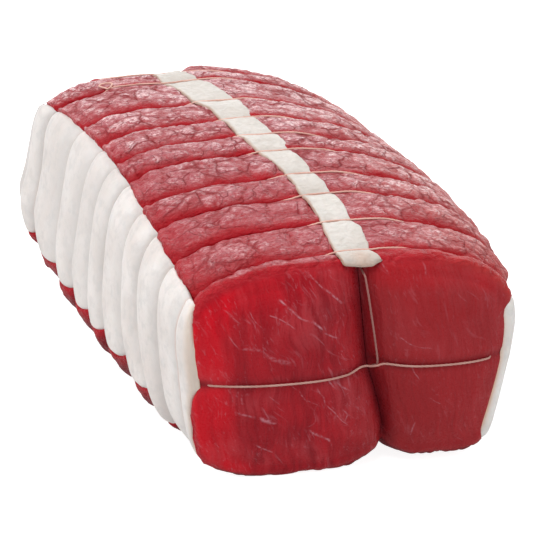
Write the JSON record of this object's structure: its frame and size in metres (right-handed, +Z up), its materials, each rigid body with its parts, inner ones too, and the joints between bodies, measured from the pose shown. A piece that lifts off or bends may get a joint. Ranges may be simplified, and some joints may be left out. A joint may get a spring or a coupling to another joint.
{
  "type": "beef roast",
  "caption": "Raw beef roast: a boned joint shaped like a rounded block, jacketed with fat at both sides and along the top, and tied round and lengthwise with string.",
  "frame": {"origin": "centre of the base of the roast's box, on the surface that it lies on", "axes": "+Z up; +Y along the roast, from the cut face at the front to the back; +X to the right, seen from the cut face"},
  "size_m": [0.1339, 0.221, 0.0815],
  "materials": {
    "raw_beef": "moist raw meat, satin, with pale marbling",
    "fat": "waxy white fat, satin",
    "twine": "twisted cotton string, tinted by the meat"
  },
  "bodies": {
    "root": {"meat": "raw_beef", "bard_left": "fat", "bard_right": "fat", "bard_top": "fat", "string_loop_01": "twine", "string_loop_02": "twine", "string_loop_03": "twine", "string_loop_04": "twine", "string_loop_05": "twine", "string_loop_06": "twine", "string_loop_07": "twine", "string_loop_08": "twine", "string_loop_09": "twine", "string_loop_10": "twine", "string_upright": "twine", "string_level": "twine"}
  },
  "joints": []
}
